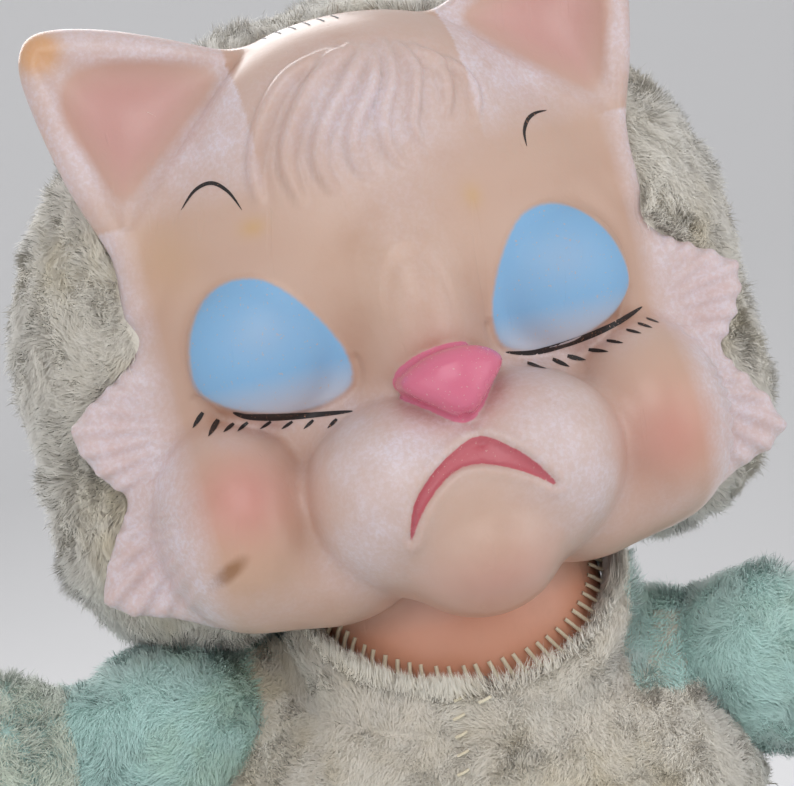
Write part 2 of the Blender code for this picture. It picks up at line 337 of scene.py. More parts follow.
class Nodes:
    """A short way to write a material's nodes."""

    def __init__(self, name):
        self.material = bpy.data.materials.new(name)
        self.material.use_nodes = True
        self.tree = self.material.node_tree
        self.shader = self.tree.nodes["Principled BSDF"]

    def make(self, kind, inputs=(), **settings):
        node = self.tree.nodes.new(kind)
        for key, value in settings.items():
            setattr(node, key, value)
        for key, value in dict(inputs).items():
            self.link(value, node.inputs[key])
        return node

    def link(self, source, target):
        if hasattr(source, "links"):
            self.tree.links.new(source, target)
        elif isinstance(source, (tuple, list, np.ndarray)) and len(source) == 3:
            target.default_value = (*source, 1) if len(target.default_value) == 4 else source
        else:
            target.default_value = source

    def set(self, **inputs):
        for key, value in inputs.items():
            self.link(value, self.shader.inputs[key.replace("_", " ")])

    def math(self, operation, a, b=0.0, c=0.0):
        return self.make("ShaderNodeMath", {0: a, 1: b, 2: c}, operation=operation).outputs[0]

    def stains(self):
        """Where old dirt has settled."""
        return self.times(self.ramp(self.noise(26, 4, 0.6), 0.5, 0.72), 0.55)

    def times(self, a, b):
        return self.math("MULTIPLY", a, b)

    def plus(self, a, b):
        return self.math("ADD", a, b)

    def ramp(self, value, low, high):
        """0 below low, 1 above high and smooth between."""
        inputs = {"Value": value, "From Min": low, "From Max": high}
        node = self.make("ShaderNodeMapRange", inputs, interpolation_type="SMOOTHSTEP")
        return node.outputs["Result"]

    def mix(self, share, a, b):
        return self.make("ShaderNodeMix", {0: share, 6: a, 7: b}, data_type="RGBA").outputs[2]

    def noise(self, scale, detail=3.0, roughness=0.55, stretch=(1, 1, 1)):
        where = self.make("ShaderNodeTexCoord").outputs["Object"]
        place = self.make("ShaderNodeMapping", {"Vector": where, "Scale": stretch}).outputs[0]
        inputs = {"Vector": place, "Scale": scale, "Detail": detail, "Roughness": roughness}
        return self.make("ShaderNodeTexNoise", inputs).outputs["Fac"]

    def attribute(self, name, output="Color"):
        return self.make("ShaderNodeAttribute", attribute_name=name).outputs[output]

    def bump(self, height, strength, distance):
        inputs = {"Strength": strength, "Distance": distance, "Height": height}
        self.set(Normal=self.make("ShaderNodeBump", inputs).outputs["Normal"])


def vinyl_look():
    """Airbrushed vinyl: soft colours, with painted shade and painted highlights among them, from
    the surface itself, hard paint edges from distances.
    """
    n = Nodes("vinyl_paint")
    # the airbrushed colours, with painted shade in every crease and hollow
    colour = n.attribute("paint")
    speckle = n.ramp(n.noise(900, 4, 0.7), 0.42, 0.62)
    blotch = n.ramp(n.noise(130, 4, 0.6), 0.35, 0.7)
    spray = n.attribute("spray", "Fac")
    dots = n.times(spray, n.math("MULTIPLY_ADD", speckle, 0.35, 0.7))
    dots = n.times(dots, n.math("MULTIPLY_ADD", blotch, 0.35, 0.68))
    colour = n.mix(dots, colour, SPRAY)
    dirt = n.times(n.ramp(n.noise(45, 5, 0.65), 0.5, 0.75), 0.16)
    colour = n.mix(dirt, colour, UMBER)
    wobble = n.math("MULTIPLY_ADD", n.noise(700, 3), 0.5, -0.25)
    # the lids' blue, paler where it was oversprayed, with a painted highlight on each lid's dome
    lid_blue = n.mix(n.attribute("lid_pale_and_highlight", "Fac"), LID_BLUE, LID_PALE)
    matte = 0.0
    for name, paint, edge, dulled in (
        ("lid", lid_blue, 0.8, 0.22),
        ("nose", NOSE_PINK, 0.3, -0.12),
        ("mouth", MOUTH_PINK, 0.25, 0.0),
    ):
        inside = n.ramp(n.plus(n.attribute(name, "Fac"), wobble), -edge, edge)
        worn = n.times(n.ramp(n.noise(1500, 2), 0.66, 0.72), 0.6)
        share = n.times(n.math("MAXIMUM", n.math("SUBTRACT", inside, worn), 0.0), inside)
        colour = n.mix(share, colour, paint)
        matte = n.math("MULTIPLY_ADD", share, dulled, matte)
    n.set(Base_Color=colour, Metallic=0.0, IOR=1.47)
    gloss = n.math("MULTIPLY_ADD", n.noise(60, 4), 0.16, 0.26)
    gloss = n.plus(gloss, n.times(spray, 0.12))
    n.set(Roughness=n.plus(gloss, matte))
    n.set(Subsurface_Weight=0.12, Subsurface_Radius=(0.9, 0.4, 0.25), Subsurface_Scale=0.0025)
    n.set(Coat_Weight=0.20, Coat_Roughness=0.25)
    fine = n.noise(1400, 2)
    scratch = n.ramp(n.noise(260, 2, 0.4, (1, 1, 0.12)), 0.66, 0.7)
    height = n.math("SUBTRACT", n.times(fine, 0.35), n.times(scratch, 0.5))
    n.bump(n.plus(height, n.times(n.noise(90, 3), 1.2)), 0.35, 0.00025)
    return n.material


def ink_look():
    n = Nodes("lash_ink")
    n.set(Base_Color=n.mix(n.ramp(n.noise(1800, 2), 0.62, 0.74), INK, UMBER), Roughness=0.5)
    return n.material


def pile_look(name, colour, stain):
    """Plush fibres: painted shade at the roots and painted light at the tips, no two fibres quite
    alike, with old stains.
    """
    n = Nodes(name)
    parts = n.make("ShaderNodeSeparateColor")
    n.link(n.attribute("fibre"), parts.inputs[0])
    along, chance, _ = (parts.outputs[i] for i in range(3))
    root_shade_and_dark_tone, light = shade(colour, 0.9), tuple(min(1.0, 1.12 * c + 0.03) for c in colour)
    # painted shade at the roots, painted light towards the tips
    base = n.mix(n.ramp(along, 0.0, 0.75), root_shade_and_dark_tone, colour)
    base = n.mix(n.times(n.ramp(along, 0.5, 1.0), 0.7), base, light)
    base = n.mix(n.stains(), base, stain)
    # some fibres at random a darker tone
    base = n.mix(n.times(n.ramp(chance, 0.7, 1.0), 0.3), base, root_shade_and_dark_tone)
    n.set(Base_Color=base, Roughness=0.95)
    n.set(Sheen_Weight=0.8, Sheen_Roughness=0.6, Specular_IOR_Level=0.1)
    return n.material


def backing_look(name, colour, stain):
    """The knitted cloth under the pile, mostly hidden, with felted fibre on it."""
    n = Nodes(name)
    base = n.mix(n.stains(), shade(colour, 0.92), shade(stain, 0.92))
    felt = n.noise(600, 5, 0.7)
    base = n.mix(n.times(n.ramp(felt, 0.5, 0.3), 0.6), base, shade(colour, 0.75))
    n.set(Base_Color=base, Roughness=0.95, Sheen_Weight=0.3)
    n.bump(felt, 0.9, 0.0012)
    return n.material


def thread_look():
    n = Nodes("cotton_thread")
    twist = n.noise(2400, 2, 0.5, (1, 1, 0.4))
    n.set(Base_Color=n.mix(twist, shade(THREAD, 0.7), THREAD), Roughness=0.85, Sheen_Weight=0.2)
    n.bump(twist, 0.6, 0.0002)
    return n.material


# --- the vinyl face

EAR = {
    "right": ((-20, 58), (-18, 67), (-32, 75), (-51, 83), (-66, 86), (-72, 82), (-73, 72),
              (-69, 49), (-63, 30), (-61, 14), (-40, 30)),
    "left": ((22, 58), (24, 67), (38, 76), (54, 84), (68, 87), (74, 83), (75, 72),
             (70, 50), (64, 33), (60, 14), (40, 30)),
}
EAR_DISH = {
    "right": ((-62, 73), (-53, 74), (-40, 71), (-30, 66), (-38, 58), (-49, 49), (-57, 43),
              (-61, 53), (-65, 65)),
    "left": ((64, 74), (55, 75), (43, 71), (33, 66), (40, 58), (50, 49), (58, 43), (63, 53),
             (67, 65)),
}
DISH_CORNERS = {
    "right": ((-68, 79), (-22, 69), (-58, 36)), "left": ((69, 80), (25, 69), (60, 36)),
}
EAR_DEPTH, EAR_LEAN, EAR_THICKNESS = 27, -0.13, 6.0
UPPER_TUFT = ((52, 8), (64, 5), (71, 1), (79, -4), (82, -8), (79, -17), (73, -24), (58, -30),
              (48, -12))
LOWER_TUFT = ((56, -18), (70, -24), (78, -34), (82, -41), (84, -47), (80, -51), (72, -54),
              (56, -56))
LID = ((37, 17.5), (29, 16), (22, 8), (17, -3), (17.5, -11.5), (24, -14.8), (32, -15.2),
       (40, -13.4), (47, -10), (51.5, -4), (49.5, 6), (44, 14))
NOSE = ((-9.8, -15), (-5.5, -11), (2, -9.3), (9.5, -10.3), (14, -14.3), (9.5, -19.5), (2.6, -25),
        (-4.2, -20.6))
MOUTH = ((-16.5, -48.5), (-14.5, -41), (-9.5, -35.5), (-3, -31.5), (4, -29.5), (10, -33.5),
         (14.5, -38.5), (18, -44.5), (13, -40.8), (8, -37.8), (2, -35.5), (-3, -35.6), (-8, -38.3),
         (-12.8, -42.8))


def slab(p, outline, middle, thickness, rounding):
    """A flat form with rounded edges: an outline in x and u, around a middle depth."""
    flat = polygon(p[..., 0], p[..., 1], outline) + rounding
    deep = np.abs(p[..., 2] - middle(p)) - thickness + rounding
    outside = np.hypot(np.maximum(flat, 0), np.maximum(deep, 0))
    return outside + np.minimum(np.maximum(flat, deep), 0) - rounding


def add_slab(field, outline, depth, lean, thickness, rounding):
    root = outline[:, 1].min()

    def middle(p):
        return depth + lean * (p[..., 1] - root)

    low = (*outline.min(0), depth - 25)
    high = (*outline.max(0), depth + 25)
    field.add(lambda p: slab(p, outline, middle, thickness, rounding), low, high, 5)


def add_ears(field):
    for side, outline in EAR.items():
        outline = curve_through(outline, 4, True)
        add_slab(field, outline, EAR_DEPTH, EAR_LEAN, EAR_THICKNESS, 4.5)
        corners = np.array(DISH_CORNERS[side], float)
        low, high = (*corners.min(0), 0), (*corners.max(0), 50)
        field.add(lambda p, side=side: ear_hollow(p, side), low, high, 2.5, carve=True)


def ear_hollow(p, side):
    """The shallow bowl inside an ear: deepest in the middle of a triangle, nothing at its edges."""
    (ax, ay), (bx, by), (cx, cy) = DISH_CORNERS[side]
    x, u = p[..., 0], p[..., 1]
    area = (bx - ax) * (cy - ay) - (cx - ax) * (by - ay)
    b = ((x - ax) * (cy - ay) - (cx - ax) * (u - ay)) / area
    c = ((bx - ax) * (u - ay) - (x - ax) * (by - ay)) / area
    bowl = 27 * np.clip(b, 0, 1) * np.clip(c, 0, 1) * np.clip(1 - b - c, 0, 1)
    face = EAR_DEPTH + EAR_LEAN * (u - 14) + EAR_THICKNESS
    flat = polygon(x, u, DISH_CORNERS[side])
    return np.maximum(flat, face - 6.2 * bowl ** 0.75 - p[..., 2])


def add_tufts(field):
    for sign in SIDES.values():
        for outline, depth in ((UPPER_TUFT, 26), (LOWER_TUFT, 25)):
            flipped = curve_through(np.array(outline) * (sign, 1), 3, True)
            add_slab(field, flipped, depth, 0.0, 5.0, 4.0)


def face_field():
    field = Field((-92, -104, -42), (92, 96, 86), FACE_STEP)
    field.blob((0, 15, 6), (65, 55, 47), 2)  # skull
    field.blob((0, -30, 8), (63, 33, 42), 14)  # jaw
    field.blob((0, 50, 14), (40, 24.5, 35), 10)  # brow
    for sign in SIDES.values():
        field.blob((sign * 49, -37.5, 31), (20.5, 25.5, 27), 2.6)  # cheek
        field.blob((sign * 30, -52, 34), (20, 14, 18), 7)  # jowl between cheek and muzzle
        field.blob((sign * 46, 4, 21), (17.5, 27, 17), 7)  # temple
    field.blob((0, 0, 38), (15, 27, 23), 9)  # bridge
    field.blob((2, -41, 43.5), (36.5, 25.5, 30), 1.6)  # muzzle
    field.blob((-15, -37, 51), (19, 18, 22), 7)  # its two lobes
    field.blob((19, -37, 51), (19, 18, 22), 7)
    field.blob((1, -54, 53), (19, 16.5, 22), 3)  # chin
    for sign in SIDES.values():
        field.blob((sign * 34, 0.5, 39.5), (18.5, 18, 11.8), 2.2)  # eyelid
    field.add(nose_form, (-14, -28, 52), (18, -6, 80), 2.4)
    field.add(neck_ball, (-36, -110, -36), (36, -38, 36), 5)
    add_ears(field)
    add_tufts(field)
    field.keep(lambda p: np.maximum(MASK_BACK - p[..., 2], -95 - p[..., 1]))
    return field


def nose_form(p):
    """The nose: a rounded triangle, thick enough to stand out of the muzzle."""
    x, u = p[..., 0], p[..., 1]
    dome = 66.3 - 0.12 * (u + 17) - 0.035 * ((x - 2) ** 2 + (u + 16) ** 2)
    return slab(p, curve_through(NOSE, 4, True), lambda q: dome, 7.8, 3.4)


def neck_ball(p):
    return np.linalg.norm(p - np.array((0, -EYE_HEIGHT, 0)), axis=-1) - NECK_RADIUS + 0.3


# Moulded locks of hair on the forehead: where each one runs, its width and its height
LOCKS = (
    (((-3, 63), (-14, 60), (-22, 52), (-27, 42), (-28, 33)), 2.6, 1.5),
    (((1, 63), (-8, 58), (-16, 49), (-20, 40), (-19, 31)), 2.6, 1.7),
    (((4, 62), (-2, 55), (-10, 46), (-13, 38), (-11, 31)), 2.5, 1.6),
    (((6, 61), (3, 53), (-3, 45), (-5, 38), (-3, 32)), 2.4, 1.5),
    (((9, 62), (8, 54), (4, 46), (3, 39), (5, 33)), 2.4, 1.5),
    (((12, 61), (14, 55), (12, 48), (10, 42), (11, 37)), 2.2, 1.4),
    (((15, 60), (20, 54), (20, 47), (18, 42)), 2.1, 1.2),
    (((18, 58), (25, 52), (27, 46), (25, 40)), 2.0, 1.0),
)


def lid_edge(x, u, sign, steps):
    """Distance outside an eyelid's outline; the right lid leans outwards more than the left."""
    lean = 0.1 * (u + 13) if sign < 0 else 0.0
    return polygon(x * sign - lean, u, curve_through(LID, steps, True))


def relief(x, u):
    """How far the fine moulded detail stands out of, or into, the smooth face."""
    out = np.zeros(x.shape)
    near = (np.abs(x) < 34) & (u > 24) & (u < 70)
    for points, width, height in LOCKS:
        line = curve_through(points, 5)
        far, along = distance_to_line(x[near], u[near], line)
        taper = np.sin(np.pi * np.clip(along * 0.92 + 0.06, 0, 1)) ** 0.7
        ridge = np.clip(1 - (far / (width * (0.35 + 0.65 * taper))) ** 2, 0, 1) ** 1.15
        furrow = np.exp(-(((far - width * 0.95) / 0.8) ** 2))
        out[near] += (1.25 * height * ridge - 0.45 * furrow) * taper
    mouth = polygon(x, u, curve_through(MOUTH, 4, True))
    out -= 1.7 * np.clip(-mouth / 1.1 + 0.35, 0, 1)
    out += 0.5 * np.exp(-((mouth - 1.3) / 1.1) ** 2)
    groove, along = distance_to_line(x, u, curve_through(((2, -25), (3.2, -27), (4, -30)), 4))
    out -= 0.9 * np.exp(-((groove / 1.1) ** 2))
    nose = polygon(x, u, curve_through(NOSE, 4, True))
    out -= 0.3 * np.exp(-((nose - 0.9) / 0.8) ** 2)
    for sign in SIDES.values():
        lid = lid_edge(x, u, sign, 4)
        out += 0.5 * np.clip(0.5 - lid / 1.2, 0, 1)
        out -= 0.7 * np.exp(-((lid - 1.0) / 1.1) ** 2) * (u < -6)
        out += tuft_relief(x * sign, u)
    return out


def tuft_relief(x, u):
    """Grooves that fan out through both cheek tufts, as combed fur."""
    fan = np.zeros(x.shape)
    for centre, low, high, lines in (((50, -14), -26, 6, 5.2), ((54, -30), -56, -26, 5.0)):
        angle = np.degrees(np.arctan2(u - centre[1], x - centre[0]))
        reach = np.clip((x - 60) / 9, 0, 1) * np.clip(np.minimum(u - low, high - u) / 4, 0, 1)
        fan += 0.6 * np.sin(np.radians(angle) * lines * 6.5) * reach
    return fan


def glow(x, u, centre, radii):
    return np.exp(-((x - centre[0]) / radii[0]) ** 2 - ((u - centre[1]) / radii[1]) ** 2)


def lay(base, colour, share):
    share = np.clip(share, 0, 1)[:, None]
    return base * (1 - share) + np.array(colour) * share


# Soft glows of colour: colour, strength, then centre and spread in x and u. The umber ones beside
# the lids, under the brows, at the mask's edge and under the jowls are painted shade; the rest are
# airbrushed tints
SIDE_GLOWS_AND_SHADE = (
    (UMBER, 0.34, (16, -4), (5, 11)), (UMBER, 0.16, (34, 22), (16, 5)),
    (UMBER, 0.20, (56, 12), (7, 16)), (UMBER, 0.22, (34, -60), (10, 8)),
    (TAN, 0.38, (56, -46), (18, 18)), (EAR_PINK, 0.40, (52, 62), (16, 14)),
    (EAR_PINK, 0.35, (72, -12), (9, 12)), (EAR_PINK, 0.30, (74, -44), (9, 10)),
)
MIDDLE_GLOWS = (
    (TAN, 0.35, (0, 12), (16, 16)), (BLUSH, 0.62, (-49, -31), (11, 10)),
    (BLUSH, 0.5, (49, -41), (12, 12)), (YELLOW, 0.22, (-51, 26), (7, 9)),
    (BLUSH, 0.30, (0, -62), (18, 8)), (YELLOW, 0.55, (-31, 28), (3, 2.2)),
    (YELLOW, 0.50, (19, 23), (2.2, 3)),
)
# Pale spray in the same way, without a colour
SIDE_SPRAY = ((0.55, (27, -50), (8, 9)), (0.35, (50, -57), (14, 6)), (0.5, (34, -16), (18, 3.5)))
MIDDLE_SPRAY = (
    (0.95, (0, 50), (25, 15)), (0.35, (2, 18), (10, 24)), (0.9, (-10, -27), (17, 9)),
    (0.9, (22, -34), (13, 17)), (0.6, (-22, -40), (10, 15)),
)
WORN_TIP = ((-68, 81), (6, 6))  # where the paint is rubbed off an ear
SCUFF = (-56, -46)
UNPAINTED = -9  # a distance well outside every hard-edged paint


def paint_face(thing, head, crease_shade):
    """Airbrushed colours, painted shade in every crease and hollow, a painted highlight on each
    lid, and the distances to the hard-edged paint, point by point.
    """
    x, u, d = head.T
    colour = np.tile(np.array(PEACH), (len(x), 1))
    colour = lay(colour, NECK_TAN, np.clip((-64 - u) / 8, 0, 1) * 0.8)
    # painted shade: umber laid into every crease, stronger where the surface is more hollow
    colour = lay(colour, UMBER, 0.7 * crease_shade)
    dishes = [polygon(x, u, curve_through(EAR_DISH[side], 4, True)) for side in SIDES]
    for sign, dish in zip(SIDES.values(), dishes):
        # airbrushed tints on both sides, with painted shade in umber
        for tint, share, centre, radii in SIDE_GLOWS_AND_SHADE:
            colour = lay(colour, tint, share * glow(x * sign, u, centre, radii))
        colour = lay(colour, EAR_PINK, 0.60 * np.clip((2 - dish) / 8, 0, 1) * (d > 12))
    for tint, share, centre, radii in MIDDLE_GLOWS:
        colour = lay(colour, tint, share * glow(x, u, centre, radii))
    tip = 1.6 * glow(x, u, *WORN_TIP)
    colour = lay(colour, WORN_TAN, 0.95 * np.clip(tip - 0.25, 0, 1))
    colour = lay(colour, WORN_TAN, 0.5 * glow(x, u, (-71, 62), (2.5, 14)))
    right, above = x - SCUFF[0], u - SCUFF[1]
    scuff = glow(0.88 * right + 0.47 * above, 0.88 * above - 0.47 * right, (0, 0), (5.4, 2.0))
    colour = lay(colour, SCUFF_BROWN, 0.85 * np.clip(1.7 * scuff - 0.35, 0, 1))
    colour_points(thing, "paint", colour)

    spray = sum(share * glow(x, u, centre, radii) for share, centre, radii in MIDDLE_SPRAY)
    for sign, dish in zip(SIDES.values(), dishes):
        s = x * sign
        spray += 0.85 * np.clip((u - 34) / 14, 0, 1) * np.clip(dish / 2.5, 0, 1) * (s > 26)
        spray += np.clip((s - 56) / 7, 0, 1) * (u < 36)
        spray += sum(share * glow(s, u, centre, radii) for share, centre, radii in SIDE_SPRAY)
    spray *= 1 - 0.8 * np.clip(tip, 0, 1)
    number_points(thing, "spray", np.clip(spray, 0, 1))

    ahead = d > 20
    lids = [-lid_edge(x, u, sign, 5) for sign in SIDES.values()]
    number_points(thing, "lid", np.where(ahead, np.maximum(*lids), UNPAINTED))
    # paler towards the bottom of each lid, where the blue is oversprayed, plus a painted highlight
    # on the dome of each lid
    pale = np.clip((-5.5 - u) / 8, 0, 1) + 0.25 * glow(np.abs(x), u, (36, 4), (7, 6))
    number_points(thing, "lid_pale_and_highlight", np.clip(pale, 0, 1))
    nose = np.minimum(1.2 - polygon(x, u, curve_through(NOSE, 5, True)), 1.4 - nose_form(head))
    number_points(thing, "nose", np.where(ahead, nose, UNPAINTED))
    mouth = -polygon(x, u, curve_through(MOUTH, 5, True))
    number_points(thing, "mouth", np.where(ahead, mouth, UNPAINTED))


def make_face(field, look):
    points, quads = field.surface()
    normals = field.slope(points, 1.2)
    # how hollow the surface is around each point, for the painted shade in every crease
    crease_shade = np.clip(1.15 - field.at(points + normals * 4) / 4, 0, 1) ** 1.5
    front = np.clip((normals[:, 2] + 0.1) / 0.4, 0, 1) * (points[:, 2] > MASK_BACK + 3)
    points = points + normals * (relief(points[:, 0], points[:, 1]) * front)[:, None]
    face = build_mesh("face", head_to_world(points), quads, look)
    paint_face(face, points, crease_shade)
    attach(face, "head")
    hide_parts("face_mask")
    return BVHTree.FromPolygons([Vector(p) for p in points], quads.tolist())


# --- ink

BROWS = (
    ((-45, 36.5), (-41, 40), (-37, 40.6), (-34, 37.5), (-32.2, 32.5)),
    ((35.6, 31.5), (36.2, 35), (38.3, 37.8), (41, 39), (44.2, 39.2)),
)
LASH_LINES = (
    ((-45.4, -11.6), (-42.8, -13.2), (-38.5, -14.5), (-33, -15.7), (-26.3, -16.9), (-19.6, -17.9)),
    ((18.2, -13.5), (24.5, -15.1), (32.5, -15.1), (40.7, -14.3), (48.2, -13.0), (54.8, -11.2)),
)
INK_HEIGHT = 0.09  # strokes lie this far above the vinyl
FOREHEAD_STITCHES = np.arange(-15, 5, 3.4)
# Lashes: where each starts, and where its tip is
LASHES = (
    ((-51.7, -10.0), (-54.8, -12.9)), ((-48.8, -12.4), (-52.2, -15.5)),
    ((-45.8, -14.1), (-48.7, -15.4)), ((-42.7, -14.6), (-45.6, -16.0)),
    ((-37.6, -15.7), (-40.4, -16.8)), ((-32.8, -16.9), (-35.6, -18.0)),
    ((-28.2, -17.8), (-30.8, -19.2)), ((-23.3, -18.8), (-25.8, -20.3)),
    ((22.4, -17.1), (25.5, -19.3)), ((28.9, -17.8), (32.5, -20.4)),
    ((32.8, -17.9), (36.9, -19.9)), ((38.2, -17.7), (41.6, -19.2)),
    ((42.5, -16.7), (45.3, -18.1)), ((47.6, -15.4), (50.2, -17.0)),
    ((51.0, -14.6), (53.5, -16.4)), ((54.1, -14.0), (56.3, -15.7)),
)


def ribbon(tree, line, half_width, taper):
    """Points and quads of a painted stroke laid on the face, along a line in x and u."""
    count = len(line)
    tangent = np.gradient(line, axis=0)
    tangent /= np.linalg.norm(tangent, axis=1, keepdims=True)
    across = np.stack((-tangent[:, 1], tangent[:, 0]), 1)
    rows = []
    for i, spot in enumerate(line):
        width = half_width * taper(i / (count - 1))
        for k in (-1, 0, 1):
            x, u = spot + across[i] * width * k
            place, normal, _, _ = tree.ray_cast(Vector((x, u, 120)), Vector((0, 0, -1)))
            if place is None:
                place, normal, _, _ = tree.find_nearest(Vector((x, u, 20)))
            if normal.z < 0:
                normal.negate()
            rows.append(place + normal * INK_HEIGHT)
    quads = []
    for i in range(count - 1):
        for k in (0, 1):
            a = 3 * i + k
            quads.append((a, a + 3, a + 4, a + 1))
    return np.array(rows), np.array(quads)


def make_ink(tree, look):
    def swelling(least, power):
        return lambda t: max(least, math.sin(math.pi * t) ** power)

    strokes = [(curve_through(line, 6), 0.46, swelling(0.08, 0.8)) for line in BROWS]
    strokes += [(curve_through(line, 7), 0.78, swelling(0.15, 0.5)) for line in LASH_LINES]
    for start, tip in LASHES:
        line = np.linspace(start, tip, 5)
        width = 0.13 * math.dist(start, tip)
        strokes.append((line, width, lambda t: math.sin(math.pi * (0.22 + 0.76 * t)) ** 0.8))
    for x in FOREHEAD_STITCHES:
        strokes.append((np.linspace((x, 71.8), (x - 0.7, 73.8), 4), 0.24, lambda t: 1.0))
    points, quads = merge([ribbon(tree, line, width, taper) for line, width, taper in strokes])
    ink = build_mesh("lash_ink", head_to_world(points), quads, look)
    settle(ink, "head")


# --- plush


def wander(points, size, seed):
    """A smooth random direction at each point; size is the length of its waves."""
    rng = np.random.default_rng(seed)
    total = np.zeros((len(points), 3))
    for _ in range(7):
        wave = rng.normal(size=(3, 3)) * (2.2 / size)
        phase = rng.uniform(0, 6.28, 3)
        total += np.sin(points @ wave.T + phase)
    return total / 3.0


def sample_surface(points, quads, density, rng, keep):
    """Random spots on a surface, so many to a square millimetre, and the normal at each."""
    normals = point_normals(points, quads)
    triangles = np.concatenate((quads[:, (0, 1, 2)], quads[:, (0, 2, 3)]))
    a, b, c = (points[triangles[:, i]] for i in range(3))
    area = 0.5 * np.linalg.norm(np.cross(b - a, c - a), axis=1)
    area = area * keep((a + b + c) / 3)
    count = int(area.sum() * density * THIN)
    chosen = rng.choice(len(area), count, p=area / area.sum())
    r1, r2 = np.sqrt(rng.random(count)), rng.random(count)
    weights = np.stack((1 - r1, r1 * (1 - r2), r1 * r2), 1)
    spots = sum(weights[:, i, None] * points[triangles[chosen, i]] for i in range(3))
    normal = sum(weights[:, i, None] * normals[triangles[chosen, i]] for i in range(3))
    return spots, unit(normal)


CLUMP = 3.2  # the size of the small bunches in which fibres stand
SHORT_SHARE = 0.42  # how many fibres are short undercoat


def grow_pile(name, spots, normal, length, width, comb, look, seed, avoid):
    """Plush fibres as thin tapered blades, gathered into small clumps and combed by comb."""
    rng = np.random.default_rng(seed)
    count = len(spots)
    lay_dir = comb - (comb * normal).sum(1, keepdims=True) * normal
    swirl = wander(spots, 14, seed + 1) * 0.42 + wander(spots, 4.5, seed + 2) * 0.34
    direction = unit(normal * 0.45 + lay_dir + swirl * 1.25 + rng.normal(size=(count, 3)) * 0.22)
    up = (direction * normal).sum(1)
    direction = unit(direction + normal * np.clip(0.30 - up, 0, 1.4)[:, None])
    short = (rng.random(count) < SHORT_SHARE)[:, None]
    reach = length * np.where(short, 0.6, 1.0) * rng.uniform(0.68, 1.08, count)[:, None]
    reach = reach * (1 + 0.28 * wander(spots, 11, seed + 5)[:, :1])
    tip = spots + direction * reach
    cell = np.floor((spots + wander(spots, 9, seed + 3) * 2.0) / CLUMP).astype(np.int64)
    key = (cell[:, 0] * 73856093) ^ (cell[:, 1] * 19349663) ^ (cell[:, 2] * 83492791)
    _, group = np.unique(key, return_inverse=True)
    members = np.bincount(group)
    centre = np.stack([np.bincount(group, tip[:, i]) / members for i in range(3)], 1)
    pull = rng.uniform(0.15, 0.55, count)[:, None] * ~short
    tip = tip * (1 - pull) + centre[group] * pull
    middle = spots * 0.5 + tip * 0.5 + normal * reach * 0.14 + rng.normal(size=(count, 3)) * 0.4
    for _ in range(3):
        for part in (middle, tip):
            part += avoid(part)
            part += off_floor(part)
    direction = unit(tip - spots)
    across = unit(np.cross(direction, normal) + rng.normal(size=(count, 3)) * 0.25)
    half = width * rng.uniform(0.7, 1.2, count)[:, None] / 2
    points = np.stack((
        spots - across * half, spots + across * half,
        middle - across * half * 0.85, middle + across * half * 0.85, tip,
    ), 1)
    first = 5 * np.arange(count)[:, None]
    faces = np.concatenate((first + (0, 1, 3), first + (0, 3, 2), first + (2, 3, 4)))
    thing = build_mesh(name, points.reshape(-1, 3), faces, look)
    normals = np.repeat(unit(normal + direction * 0.35), 5, axis=0)
    thing.data.normals_split_custom_set_from_vertices(normals.tolist())
    # how far along its fibre each point lies, for the painted shade at the roots and painted light
    # at the tips, and a random number for each fibre
    tint = np.zeros((count, 5, 3), np.float32)
    tint[:, 2:4, 0], tint[:, 4, 0] = 0.55, 1.0
    tint[:, :, 1] = rng.random(count)[:, None]
    colour_points(thing, "fibre", tint.reshape(-1, 3))
    return thing


def cloth(name, field, to_world, look, body, nodes):
    points, quads = field.surface()
    world = to_world(points)
    made = build_mesh(name, world, quads, look)
    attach(made, body)
    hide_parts(*nodes)
    return world, quads


def hood_field():
    field = Field((-100, -84, -86), (100, 96, 56), CLOTH_STEP)
    field.blob((0, 4, -12), (90.5, 75.5, 56.5), 2)
    for sign in SIDES.values():
        field.blob((sign * 59, -32, -7), (31, 33.5, 31), 10)  # jowl
    field.blob((0, -EYE_HEIGHT, -1), (33, 33, 33), 8)
    field.keep(lambda p: -90 - p[..., 1])
    return field


def body_field():
    field = Field((-80, -68, -2), (80, 76, 190), CLOTH_STEP)
    field.blob((0, 4, 52), (73, 62, 62), 2)
    field.blob((0, 4, 84), (71, 57, 44), 10)
    field.blob((0, 2, 113), (71, 52, 50), 10)
    for sign in SIDES.values():
        field.blob((sign * 50, 10, 145), (25, 19, 22), 8)  # shoulder
    field.add(collar, (-50, -50, 140), (50, 60, 200), 9)
    field.keep(lambda p: 0.6 - p[..., 2])
    field.add(neck_hollow, (-37, -37, 131), (37, 37, 205), 0.8, carve=True)
    return field


EDGE_TILT = math.radians(40.6)  # how far the vinyl's lower edge tips down at the throat
EDGE_DROP = 13.0  # from the neck's centre to the plane of that edge
EDGE_RADIUS = math.sqrt(NECK_RADIUS**2 - EDGE_DROP**2)
HOOD_FRONT = -24  # fine pile forward of this depth, coarse pile behind
HOOD_LOWEST = -78  # no pile below, in the hollow of the neck
# Where fluff covers the stitches: degrees from the middle, how far it spreads, how many fibres
NECK_TUFTS = ((-56, 12, 5000), (-27, 9, 3800), (68, 11, 5000), (15, 25, 900))


def edge_frame():
    """The vinyl edge's centre and its right, forward and up directions, in the row frame."""
    up = np.array((0, -math.sin(EDGE_TILT), math.cos(EDGE_TILT)))
    ahead = np.array((0, -math.cos(EDGE_TILT), -math.sin(EDGE_TILT)))
    right = np.array((1.0, 0, 0))
    return NECK + LEAN @ (up * EDGE_DROP), LEAN @ right, LEAN @ ahead, LEAN @ up


